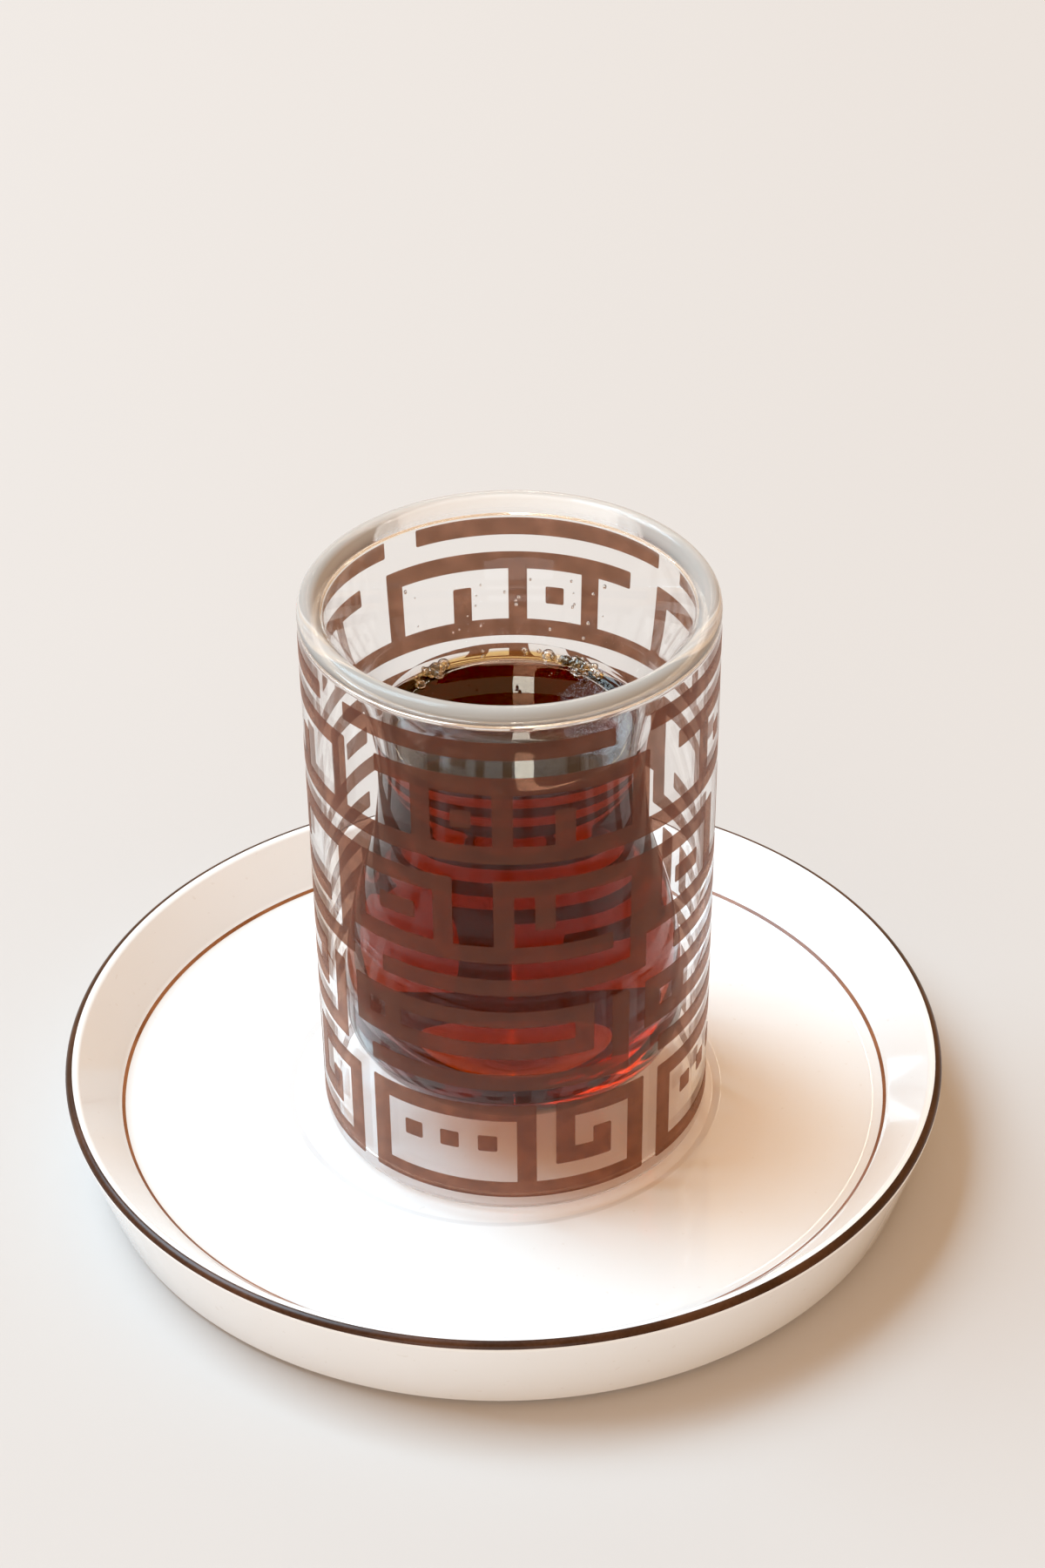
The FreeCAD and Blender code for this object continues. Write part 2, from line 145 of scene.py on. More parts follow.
class Board:
    """The node tree of one finish."""

    def __init__(self, name: str) -> None:
        """Starts an empty material.

        Args:
            name: the material's name.
        """
        self.material = bpy.data.materials.new(name)
        self.material.use_nodes = True
        self.tree = self.material.node_tree
        self.tree.nodes.clear()

    def node(self, kind: str, settings: Optional[dict] = None,
             sockets: Optional[dict] = None, out: Union[int, str] = 0) -> Wire:
        """Adds one node of any kind.

        Args:
            kind: the node's type.
            settings: its own settings, set first.
            sockets: a value or a wire for each input, by name or number.
            out: the output wanted, by name or number.

        Returns:
            That output, or a loose wire where the node has no outputs.
        """
        made = self.tree.nodes.new(kind)
        for name, value in (settings or {}).items():
            setattr(made, name, value)
        for name, value in (sockets or {}).items():
            if isinstance(value, Wire):
                self.tree.links.new(value.socket, made.inputs[name])
            else:
                made.inputs[name].default_value = value
        return Wire(self, made.outputs[out] if made.outputs else None)

    def here(self) -> Wire:
        """The point being shaded, in the object's own coordinates."""
        return self.node("ShaderNodeTexCoord", out="Object")

    def mark(self, name: str) -> Wire:
        """A number that the mesh's faces carry."""
        return self.node("ShaderNodeAttribute", {"attribute_name": name}, out="Fac")

    def height(self) -> Wire:
        """The height of the point being shaded."""
        return self.node("ShaderNodeSeparateXYZ", sockets={0: self.here()}, out="Z")

    def noise(self, cell: float, detail: float = 2.0, rough: float = 0.5) -> Wire:
        """Soft noise from 0 to 1, in patches of a size, with so many and such finer layers."""
        sockets = {"Vector": self.here(), "Scale": 1 / cell, "Detail": detail, "Roughness": rough}
        return self.node("ShaderNodeTexNoise", sockets=sockets, out="Fac")

    def blend(self, share: Value, first: Union[Wire, Colour],
              second: Union[Wire, Colour]) -> Wire:
        """A colour between two, with the share of the second."""
        sockets = {0: share, 6: with_alpha(first), 7: with_alpha(second)}
        return self.node("ShaderNodeMix", {"data_type": "RGBA"}, sockets, 2)

    def bump(self, height: Wire, depth: float) -> Wire:
        """A normal bent by a height from 0 to 1, which is so deep."""
        return self.node("ShaderNodeBump", sockets={"Height": height, "Distance": depth})

    def shiny(self, sockets: dict) -> Wire:
        """The shader of a solid surface, clear or not."""
        return self.node("ShaderNodeBsdfPrincipled", sockets=sockets)

    def clear(self, tint: Colour = WHITE) -> Wire:
        """The shader of a surface that only tints what is seen straight through it."""
        return self.node("ShaderNodeBsdfTransparent", sockets={"Color": with_alpha(tint)})

    def mixed(self, share: Value, first: Wire, second: Wire) -> Wire:
        """One shader over another, with the share of the second."""
        return self.node("ShaderNodeMixShader", sockets={0: share, 1: first, 2: second})

    def finish(self, surface: Wire, volume: Optional[Wire] = None) -> Material:
        """Joins the shader to the material.

        Args:
            surface: the surface shader.
            volume: the shader of what is inside.

        Returns:
            The material.
        """
        inside = {"Volume": volume} if volume else {}
        self.node("ShaderNodeOutputMaterial", sockets={"Surface": surface, **inside})
        return self.material

    def lets_light_by(self, surface: Wire, tint: Colour = WHITE) -> Wire:
        """Lets light on its way to other surfaces straight through a clear one.

        Args:
            surface: the clear surface's shader.
            tint: what it does to that light.

        Returns:
            The shader with that light let through.
        """
        path = self.node("ShaderNodeLightPath", out="Is Shadow Ray")
        soft = Wire(self, path.socket.node.outputs["Is Diffuse Ray"])
        return self.mixed(path.either(soft), surface, self.clear(tint))


# ---- Finishes ----


WET = "wet"  # the share of a glass face that touches tea
OPEN = "open"  # the share of a tea face that touches air


@dataclass(frozen=True)
class ClearGlass:
    """Lamp-blown borosilicate: clear, with a slow ripple and a few smears.

    Where tea wets it, it bends light only as far as glass and tea differ. Its thick foot
    and lip pass more light straight through, and a pale opaque share laid over the lip is
    a painted highlight.
    """

    name: str = "clear_glass"
    ior: float = 1.47
    wet_ior: float = 1.103
    ripple_cell: float = 9 * MM
    ripple_depth: float = 0.012 * MM
    smear_cell: float = 14 * MM
    smear_roughness: float = 0.035
    shine: float = 0.22
    # painted highlight: the share of the lip covered by a pale opaque shader
    lip_highlight_share: float = 0.40
    edge_clear: float = 0.45
    foot: Span = (8.8 * MM, 10.2 * MM)
    lip: Span = (96.4 * MM, 98.8 * MM)
    # the colour and roughness of that painted highlight on the lip
    painted_highlight: Colour = (0.96, 0.94, 0.91)
    painted_highlight_roughness: float = 0.12
    dimming: Colour = (0.985, 0.985, 0.985)

    def material(self) -> Material:
        """The glass's material.

        Returns:
            The material.
        """
        board = Board(self.name)
        ripple = board.noise(self.ripple_cell, detail=1.0)
        smear = board.noise(self.smear_cell, detail=4.0, rough=0.6).fade(0.55, 0.75)
        dry, wet = (board.shiny({
            "Base Color": with_alpha(WHITE),
            "Roughness": smear * self.smear_roughness,
            "IOR": ior,
            "Specular Tint": (self.shine, self.shine, self.shine, 1.0),
            "Transmission Weight": 1.0,
            "Normal": board.bump(ripple, self.ripple_depth),
        }) for ior in (self.ior, self.wet_ior))
        surface = board.mixed(board.mark(WET), dry, wet)
        # Painted highlight: a pale opaque shader that stands in for the lip's bright highlight.
        painted_highlight = board.shiny({
            "Base Color": with_alpha(self.painted_highlight), "Roughness": self.painted_highlight_roughness,
            "IOR": self.ior})
        height = board.height()
        lip = height.fade(*self.lip)
        foot = 1.0 - height.fade(*self.foot)
        surface = board.mixed(lip.either(foot) * self.edge_clear, surface, board.clear())
        # Lays the painted highlight over the lip.
        surface = board.mixed(lip * self.lip_highlight_share, surface, painted_highlight)
        return board.finish(board.lets_light_by(surface, self.dimming))


@dataclass(frozen=True)
class BlackTea:
    """Black tea: gold in a thin layer, red-brown and then near black in a deep one.

    The inner part of the rise at its edge is tinted gold, and the outer part stays pale.
    """

    name: str = "black_tea"
    ior: float = 1.333
    density: float = 240.0
    passes: Colour = (0.82, 0.50, 0.17)
    stir_cell: float = 16 * MM
    stir_depth: float = 0.02 * MM
    dimming: Colour = (0.7, 0.7, 0.7)
    gold: Colour = (0.80, 0.45, 0.10)
    gold_begins: Span = (0.03 * MM, 0.12 * MM)
    gold_ends: Span = (0.50 * MM, 0.80 * MM)

    def material(self, level: float) -> Material:
        """The tea's material.

        Args:
            level: the height of the tea's surface at its middle.

        Returns:
            The material.
        """
        board = Board(self.name)
        stir = board.noise(self.stir_cell, detail=0.0)
        rise = board.height() - level
        gilt = rise.fade(*self.gold_begins) - rise.fade(*self.gold_ends)
        surface = board.shiny({
            "Base Color": board.blend(gilt, WHITE, self.gold),
            "Roughness": stir.fade(0.3, 0.8, 0.0, 0.012),
            "IOR": self.ior,
            "Transmission Weight": 1.0,
            "Normal": board.bump(stir, self.stir_depth),
        })
        free = board.lets_light_by(surface, self.dimming)
        surface = board.mixed(board.mark(OPEN), board.clear(), free)
        volume = board.node("ShaderNodeVolumeAbsorption", sockets={
            "Color": with_alpha(self.passes), "Density": self.density})
        return board.finish(surface, volume)


@dataclass(frozen=True)
class Enamel:
    """Fired enamel paint, a little thin and uneven, with a low shine."""

    name: str = "printed_enamel"
    deep: Colour = (0.088, 0.028, 0.017)
    thin: Colour = (0.145, 0.052, 0.033)
    glow: Colour = (1.0, 0.74, 0.61)
    cover: float = 0.57
    cover_change: float = 0.10
    patch: float = 3.2 * MM
    grain: float = 0.22 * MM
    grain_depth: float = 0.006 * MM
    roughness: Span = (0.28, 0.44)

    def material(self) -> Material:
        """The enamel's material.

        Returns:
            The material.
        """
        board = Board(self.name)
        patch = board.noise(self.patch, detail=3.0, rough=0.6)
        grain = board.noise(self.grain, detail=1.0)
        thin = (patch * 0.7 + grain * 0.3).fade(0.35, 0.68)
        surface = board.shiny({
            "Base Color": board.blend(thin, self.deep, self.thin),
            "Roughness": grain.fade(0.2, 0.8, *self.roughness),
            "IOR": 1.5,
            "Normal": board.bump(grain, self.grain_depth),
        })
        cover = self.cover - thin * self.cover_change
        return board.finish(board.mixed(cover, board.clear(self.glow), surface))


@dataclass(frozen=True)
class WhiteGlaze:
    """Bright white porcelain under a clear, slightly wavy glaze."""

    name: str = "white_glaze"
    body: Colour = (0.915, 0.93, 0.945)
    pooled: Colour = (0.90, 0.915, 0.925)
    wave_cell: float = 7 * MM
    wave_depth: float = 0.018 * MM
    cloud_cell: float = 22 * MM
    speck_cell: float = 0.9 * MM
    speck: Colour = (0.55, 0.47, 0.38)
    speck_strength: float = 0.12
    bare: Colour = (0.74, 0.71, 0.66)
    bare_roughness: float = 0.75
    roughness: float = 0.09
    foot_height: float = 0.35 * MM
    foot_fade: float = 0.1 * MM
    ragged_cell: float = 1.5 * MM
    ragged_by: float = 0.25 * MM
    coat: float = 0.6

    def material(self) -> Material:
        """The glaze's material, which stops at the bare foot.

        Returns:
            The material.
        """
        board = Board(self.name)
        wave = board.noise(self.wave_cell, detail=1.0)
        cloud = board.noise(self.cloud_cell)
        speck = board.noise(self.speck_cell, detail=0.0).fade(0.80, 0.84)
        ragged = board.noise(self.ragged_cell) * self.ragged_by + board.height()
        glazed = ragged.fade(self.foot_height, self.foot_height + self.foot_fade)
        tone = board.blend(cloud.fade(0.35, 0.7), self.body, self.pooled)
        tone = board.blend(speck * self.speck_strength, tone, self.speck)
        surface = board.shiny({
            "Base Color": board.blend(glazed, self.bare, tone),
            "Roughness": glazed.fade(0.0, 1.0, self.bare_roughness, self.roughness),
            "IOR": 1.5,
            "Coat Weight": glazed * self.coat,
            "Coat Roughness": 0.03,
            "Coat IOR": 1.5,
            "Normal": board.bump(wave, self.wave_depth),
        })
        return board.finish(surface)


@dataclass(frozen=True)
class BandedLine:
    """A line of brown banding colour under a shine, brushed on at the wheel."""

    name: str
    dark: Colour
    light: Colour
    stroke_length: float = 16 * MM
    grain: float = 0.5 * MM
    roughness: Span = (0.30, 0.42)
    coat: float = 0.2

    def material(self) -> Material:
        """The line's material.

        Returns:
            The material.
        """
        board = Board(self.name)
        stroke = board.noise(self.stroke_length, detail=3.0, rough=0.55)
        grain = board.noise(self.grain)
        light = (stroke * 0.8 + grain * 0.2).fade(0.38, 0.66)
        surface = board.shiny({
            "Base Color": board.blend(light, self.dark, self.light),
            "Roughness": grain.fade(0.2, 0.8, *self.roughness),
            "IOR": 1.35,
            "Coat Weight": grain.fade(0.0, 1.0, 0.0, self.coat),
            "Coat Roughness": 0.10,
        })
        return board.finish(surface)


@dataclass(frozen=True)
class WetFilm:
    """Clear water: the skin of a bubble, or a drop."""

    name: str = "wet_film"
    tint: Colour = (0.97, 0.90, 0.80)
    swirl: float = 0.8 * MM
    roughness: float = 0.02

    def material(self) -> Material:
        """The film's material.

        Returns:
            The material.
        """
        board = Board(self.name)
        swirl = board.noise(self.swirl)
        surface = board.shiny({
            "Base Color": board.blend(swirl, WHITE, self.tint),
            "Roughness": swirl * self.roughness,
            "IOR": 1.333,
            "Transmission Weight": 1.0,
        })
        return board.finish(board.lets_light_by(surface))


@dataclass(frozen=True)
class TableTop:
    """The plain pale table."""

    name: str = "pale_table"
    colour: Colour = (0.585, 0.560, 0.550)
    other: Colour = (0.565, 0.542, 0.532)
    cloud_cell: float = 0.35
    roughness: Span = (0.50, 0.60)

    def material(self) -> Material:
        """The table's material.

        Returns:
            The material.
        """
        board = Board(self.name)
        cloud = board.noise(self.cloud_cell)
        surface = board.shiny({
            "Base Color": board.blend(cloud, self.colour, self.other),
            "Roughness": cloud.fade(0.2, 0.8, *self.roughness),
            "IOR": 1.3,
        })
        return board.finish(surface)


# ---- Shaping ----

SEAM = 0.002 * MM  # points closer than this are one
SHARP = math.radians(35.0)  # edges sharper than this stay sharp


def alone(*pieces: Piece) -> None:
    """Selects some pieces and nothing else, the first one active.

    Args:
        pieces: the pieces.
    """
    bpy.ops.object.select_all(action="DESELECT")
    for piece in pieces:
        piece.select_set(True)
    bpy.context.view_layer.objects.active = pieces[0]


def edit(piece: Piece, everything: bool = True) -> None:
    """Opens a piece in edit mode, alone.

    Args:
        piece: the piece.
        everything: whether all of it starts selected, or none of it.
    """
    alone(piece)
    bpy.ops.object.mode_set(mode="EDIT")
    if everything:
        bpy.ops.mesh.select_all(action="SELECT")


def leave() -> None:
    """Closes edit mode."""
    bpy.ops.object.mode_set(mode="OBJECT")


def pick(piece: Piece, kind: str, wanted: Callable[[object], bool]) -> None:
    """Opens a piece in edit mode with some of its faces or points selected.

    Args:
        piece: the piece.
        kind: "FACE" or "VERT".
        wanted: whether a face or a point is to be selected.
    """
    edit(piece)
    bpy.ops.mesh.select_mode(type=kind)
    bpy.ops.mesh.select_all(action="DESELECT")
    leave()
    for part in piece.data.polygons if kind == "FACE" else piece.data.vertices:
        part.select = wanted(part)
    edit(piece, everything=False)


def add(name: str, primitive: Callable, **sizes: object) -> Piece:
    """Adds a primitive, with its place in its mesh and its object at the origin.

    Args:
        name: the new piece's name.
        primitive: the operator that adds it.
        sizes: what the operator is told.

    Returns:
        The piece.
    """
    bpy.ops.object.select_all(action="DESELECT")
    primitive(**sizes)
    piece = bpy.context.object
    piece.name = piece.data.name = name
    bpy.ops.object.transform_apply(location=True, rotation=True, scale=True)
    return piece


def seal(piece: Piece, hollow: bool = False) -> None:
    """Merges seams and poles and turns the faces outwards.

    Args:
        piece: the piece.
        hollow: whether it is the skin of a hollow, whose faces look into the hollow.
    """
    edit(piece)
    bpy.ops.mesh.remove_doubles(threshold=SEAM)
    bpy.ops.mesh.normals_make_consistent(inside=hollow)
    leave()


def thicken(piece: Piece, thickness: float, offset: float = -1.0) -> None:
    """Makes a shell of a sheet of faces.

    Args:
        piece: the piece.
        thickness: how thick the shell is.
        offset: where it lies: -1 is inside the faces, 1 is outside them.
    """
    alone(piece)
    shell = piece.modifiers.new("shell", "SOLIDIFY")
    shell.thickness = thickness
    shell.offset = offset
    bpy.ops.object.modifier_apply(modifier=shell.name)


def smooth(piece: Piece) -> None:
    """Shades a piece smooth but for its sharp edges."""
    alone(piece)
    bpy.ops.object.shade_smooth_by_angle(angle=SHARP)


def mark_faces(piece: Piece, name: str, test: Callable[[Vector], bool]) -> None:
    """Writes a number on each face of a piece: 1 where a test of its middle holds, else 0.

    Args:
        piece: the piece.
        name: the number's name.
        test: the test.
    """
    marks = piece.data.attributes.new(name, "FLOAT", "FACE")
    for face, mark in zip(piece.data.polygons, marks.data):
        mark.value = float(test(face.center))


def join(pieces: list[Piece], name: str) -> Piece:
    """Makes one piece of several.

    Args:
        pieces: the pieces.
        name: the new piece's name.

    Returns:
        The joined piece.
    """
    alone(*pieces)
    bpy.ops.object.join()
    joined = bpy.context.object
    joined.name = joined.data.name = name
    return joined


def dress(piece: Piece, material: Material, slot: Slot,
          stands_for: Optional[str] = None) -> None:
    """Gives a piece its finish and its place in the frame.

    Args:
        piece: the piece.
        material: its finish.
        slot: the record's slot for it; not used.
        stands_for: the CAD node that it is shown in place of.
    """
    piece.data.materials.clear()
    piece.data.materials.append(material)
    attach(piece, "root")
    if stands_for:
        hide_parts(stands_for)
    LOG.info("%s: %d faces", piece.name, len(piece.data.polygons))


@dataclass(frozen=True)
class Arc:
    """A stretch of a circle in a half section, with angles from straight across."""

    centre: Point
    radius: float
    begin: float
    end: float

    def point(self, angle: float) -> Point:
        """The place on the circle at an angle."""
        return (self.centre[0] + self.radius * math.cos(angle),
                self.centre[1] + self.radius * math.sin(angle))

    def grown(self, by: float) -> "Arc":
        """The same arc with another radius."""
        return Arc(self.centre, self.radius + by, self.begin, self.end)

    def reverse(self) -> "Arc":
        """The same arc, drawn the other way."""
        return Arc(self.centre, self.radius, self.end, self.begin)


def section_of(place: Vector, axis: Vector) -> Point:
    """How far a place is from an upright axis, and how high above the axis's foot."""
    return (place - axis).xy.length, place.z - axis.z


def rounded(before: Point, corner: Point, after: Point, radius: float) -> Arc:
    """The round of a corner between two straight lines.

    Args:
        before: where the line to the corner comes from.
        corner: the corner.
        after: where the line after it goes.
        radius: the round's radius.

    Returns:
        Its arc.
    """
    towards = math.atan2(corner[1] - before[1], corner[0] - before[0])
    away = math.atan2(after[1] - corner[1], after[0] - corner[0])
    turn = (away - towards + math.pi) % TAU - math.pi
    back = radius * math.tan(abs(turn) / 2)
    side = math.copysign(math.pi / 2, turn)
    centre = (corner[0] - back * math.cos(towards) + radius * math.cos(towards + side),
              corner[1] - back * math.sin(towards) + radius * math.sin(towards + side))
    return Arc(centre, radius, towards - side, towards - side + turn)


class Lathe:
    """Draws half a section step by step and spins it about an upright axis."""

    step = math.radians(5.0)
    chord = 1.1 * MM
    least_move = 0.001 * MM

    def __init__(self, name: str, axis: Vector, start: Point) -> None:
        """Puts down the first point.

        Args:
            name: the piece's name.
            axis: the foot of the axis, from which heights are measured.
            start: the first point.
        """
        self.axis = axis
        self.at = start
        self.piece = add(name, bpy.ops.mesh.primitive_plane_add, size=MM,
                         location=self._place(start))
        edit(self.piece)
        bpy.ops.mesh.merge(type="CENTER")

    def _place(self, point: Point) -> Vector:
        """A point of the section in the row frame."""
        return self.axis + Vector((point[0], 0.0, point[1]))

    def line(self, point: Point) -> "Lathe":
        """Draws a straight line.

        Args:
            point: its end.

        Returns:
            The lathe, for the next step.
        """
        move = self._place(point) - self._place(self.at)
        if move.length > self.least_move:
            bpy.ops.mesh.extrude_region_move(TRANSFORM_OT_translate={"value": move})
            self.at = point
        return self

    def arcs(self, *arcs: Arc) -> "Lathe":
        """Draws arcs, each after a line to its start if it starts elsewhere.

        Args:
            arcs: the arcs.

        Returns:
            The lathe, for the next step.
        """
        for arc in arcs:
            self.line(arc.point(arc.begin))
            turn = arc.end - arc.begin
            steps = max(abs(turn) / self.step, abs(turn) * arc.radius / self.chord, 2)
            bpy.ops.mesh.spin(steps=math.ceil(steps), dupli=False, angle=turn,
                              use_auto_merge=False, center=self._place(arc.centre),
                              axis=(0.0, 1.0, 0.0))
            self.at = arc.point(arc.end)
        return self

    def spin(self, segments: int = 192, hollow: bool = False) -> Piece:
        """Spins the section all the way round.

        Args:
            segments: how many steps it takes.
            hollow: whether this is the skin of a hollow.

        Returns:
            The piece.
        """
        bpy.ops.mesh.select_all(action="SELECT")
        bpy.ops.mesh.spin(steps=segments, dupli=False, angle=TAU, use_auto_merge=True,
                          center=self.axis, axis=UP)
        leave()
        seal(self.piece, hollow)
        smooth(self.piece)
        return self.piece


# ---- The glass ----


def tangent_right(low: Point, low_radius: float, high: Point, high_radius: float) -> float:
    """The direction, from straight across, of the line that touches two rounds outside.

    Args:
        low: the lower round's centre.
        low_radius: its radius.
        high: the upper round's centre.
        high_radius: its radius.

    Returns:
        The angle of the touching points, as seen from the centres.
    """
    lean = math.atan2(high[0] - low[0], high[1] - low[1])
    tilt = math.asin((low_radius - high_radius) / math.dist(low, high))
    return -(lean - tilt)


class Skin:
    """One skin of the waisted vessel, as tangent arcs from its bottom up to its waist."""

    def __init__(self, bottom: float, belly: float, belly_height: float, heel: float,
                 waist: float, waist_height: float, waist_reach: float) -> None:
        """Works out the arcs.

        Args:
            bottom: the height of the bottom.
            belly: the widest radius.
            belly_height: its height.
            heel: the radius of the round between the bottom and the belly.
            waist: the narrowest radius.
            waist_height: its height.
            waist_reach: how far below the waist its curve goes on.
        """
        half = math.pi / 2
        heel_centre = (belly - heel, belly_height)
        rise = belly_height - bottom
        bowl = (heel_centre[0] ** 2 + rise ** 2 - heel ** 2) / (2 * (rise - heel))
        bowl_centre = (0.0, bottom + bowl)
        meeting = math.atan2(heel_centre[1] - bowl_centre[1], heel_centre[0] - bowl_centre[0])
        narrowing, climb = belly - waist, waist_height - belly_height
        both = (narrowing ** 2 + climb ** 2) / (2 * narrowing)
        waist_curve = both * waist_reach / climb
        belly_curve = both - waist_curve
        lean = math.asin(waist_reach / waist_curve)
        self.arcs = [
            Arc(bowl_centre, bowl, -half, meeting),
            Arc(heel_centre, heel, meeting, 0.0),
            Arc((belly - belly_curve, belly_height), belly_curve, 0.0, lean),
            Arc((waist + waist_curve, waist_height), waist_curve, math.pi + lean, math.pi),
        ]

    def grown(self, by: float) -> list[Arc]:
        """The arcs, all moved outwards by the same amount."""
        *inside, waist = self.arcs
        return [arc.grown(by) for arc in inside] + [waist.grown(-by)]


@dataclass
class GlassForm:
    """The sizes of the glass, as on its drawing, and what follows from them."""

    height: float
    base_radius: float
    flare: float = 0.85 * MM
    wall: float = 1.8 * MM
    lip: float = 1.5 * MM
    base: float = 2.4 * MM
    corner: float = 2.2 * MM
    punt_inset: float = 6.9 * MM
    punt_depth: float = 0.5 * MM
    belly_gap: float = 1.9 * MM
    bottom_gap: float = 1.8 * MM
    belly_height: float = 22.0 * MM
    belly_wall: float = 1.8 * MM
    bottom_wall: float = 4.2 * MM
    heel: float = 10.0 * MM
    inner_heel: float = 8.5 * MM
    waist: float = 18.5 * MM
    waist_wall: float = 1.4 * MM
    waist_reach: float = 18.2 * MM
    waist_drop: float = 29.4 * MM
    air_corner: float = 1.2 * MM
    crotch: float = 0.7 * MM

    def __post_init__(self) -> None:
        """Works out the skins, the flare and the lip."""
        self.rim_radius = self.base_radius + self.flare
        self.lip_centre = (self.rim_radius - self.lip, self.height - self.lip)
        self.waist_height = self.height - self.waist_drop
        bottom = self.base + self.bottom_gap
        belly = self.base_radius - self.wall - self.belly_gap
        self.outer_skin = Skin(bottom, belly, self.belly_height, self.heel,
                               self.waist + self.waist_wall, self.waist_height, self.waist_reach)
        self.inner_bottom, self.inner_belly = bottom + self.bottom_wall, belly - self.belly_wall
        self.inner_skin = Skin(self.inner_bottom, self.inner_belly,
                               self.belly_height, self.inner_heel,
                               self.waist, self.waist_height, self.waist_reach)
        spread = self.lip_centre[0] - self.waist
        rise = self.lip_centre[1] - self.waist_height
        self.flare_radius = (spread ** 2 + rise ** 2 - self.lip ** 2) / (2 * (spread - self.lip))
        self.flare_centre = (self.waist + self.flare_radius, self.waist_height)
        self.lip_angle = math.atan2(self.flare_centre[1] - self.lip_centre[1],
                                    self.flare_centre[0] - self.lip_centre[0]) + math.pi
        self.corner_centre = (self.base_radius - self.corner, self.corner)
        self.wall_angle = tangent_right(self.corner_centre, self.corner,
                                        self.lip_centre, self.lip)

    def inner_flare(self, split: float) -> list[Arc]:
        """The flare inside, from the waist up to the lip, as two arcs.

        Args:
            split: the height at which they meet.

        Returns:
            The arcs.
        """
        turn = math.pi - math.asin((split - self.waist_height) / self.flare_radius)
        return [Arc(self.flare_centre, self.flare_radius, *ends)
                for ends in ((math.pi, turn), (turn, self.lip_angle))]

    def wall_radius(self, height: float) -> float:
        """The outside radius of the straight wall at a height."""
        across, low = Arc(self.corner_centre, self.corner, 0.0, 0.0).point(self.wall_angle)
        return across - (height - low) * math.tan(self.wall_angle)

    def vessel_radius(self, height: float) -> float:
        """The inside radius of the vessel's flare at a height above the waist."""
        rise = height - self.waist_height
        return self.flare_centre[0] - math.sqrt(self.flare_radius ** 2 - rise ** 2)


@dataclass
class TeaGlass:
    """The double-walled glass: an outside with its lip and vessel, and the sealed air."""

    axis: Vector
    form: GlassForm
    wet_height: float
    slack: float = 0.5 * MM
    finish: ClearGlass = ClearGlass()

    def _is_wet(self, place: Vector) -> bool:
        """Whether a place on the outside skin is a place where tea stands."""
        across, height = section_of(place, self.axis)
        return (across < self.form.inner_belly + self.slack
                and self.form.inner_bottom - self.slack < height < self.wet_height)

    def _outside(self) -> Piece:
        """The skin that hands and tea touch.

        Returns:
            The skin.
        """
        form = self.form
        half = math.pi / 2
        punt = form.base_radius - form.punt_inset
        curve = (punt ** 2 + form.punt_depth ** 2) / (2 * form.punt_depth)
        punt_lean = math.asin(punt / curve)
        lathe = Lathe("glass_outside", self.axis, (0.0, form.punt_depth))
        lathe.arcs(Arc((0.0, form.punt_depth - curve), curve, half, half - punt_lean),
                   Arc(form.corner_centre, form.corner, -half, form.wall_angle),
                   Arc(form.lip_centre, form.lip, form.wall_angle, form.lip_angle))
        inside = form.inner_skin.arcs + form.inner_flare(self.wet_height)
        lathe.arcs(*(arc.reverse() for arc in reversed(inside)))
        outside = lathe.spin()
        mark_faces(outside, WET, self._is_wet)
        return outside

    def _air(self) -> Piece:
        """The skin of the sealed air.

        Returns:
            The skin.
        """
        form = self.form
        flare = form.flare_radius - form.waist_wall
        across = form.rim_radius - form.wall - form.crotch
        spread = form.flare_centre[0] - across
        rise = math.sqrt((flare - form.crotch) ** 2 - spread ** 2)
        crotch_centre = (across, form.waist_height + rise)
        crotch_angle = math.pi - math.atan2(rise, spread)
        corner_centre = (form.base_radius - form.wall - form.air_corner,
                         form.base + form.air_corner)
        wall_angle = tangent_right(corner_centre, form.air_corner, crotch_centre, form.crotch)
        lathe = Lathe("glass_air", self.axis, (0.0, form.base + form.bottom_gap))
        lathe.arcs(*form.outer_skin.arcs,
                   Arc(form.flare_centre, flare, math.pi, crotch_angle),
                   Arc(crotch_centre, form.crotch, crotch_angle, wall_angle),
                   Arc(corner_centre, form.air_corner, wall_angle, -math.pi / 2))
        lathe.line((0.0, form.base))
        air = lathe.spin(hollow=True)
        mark_faces(air, WET, lambda place: False)
        return air

    def build(self) -> None:
        """Builds and dresses the glass."""
        glass = join([self._outside(), self._air()], "tea_glass")
        dress(glass, self.finish.material(), Slot.GLASS, "glass")


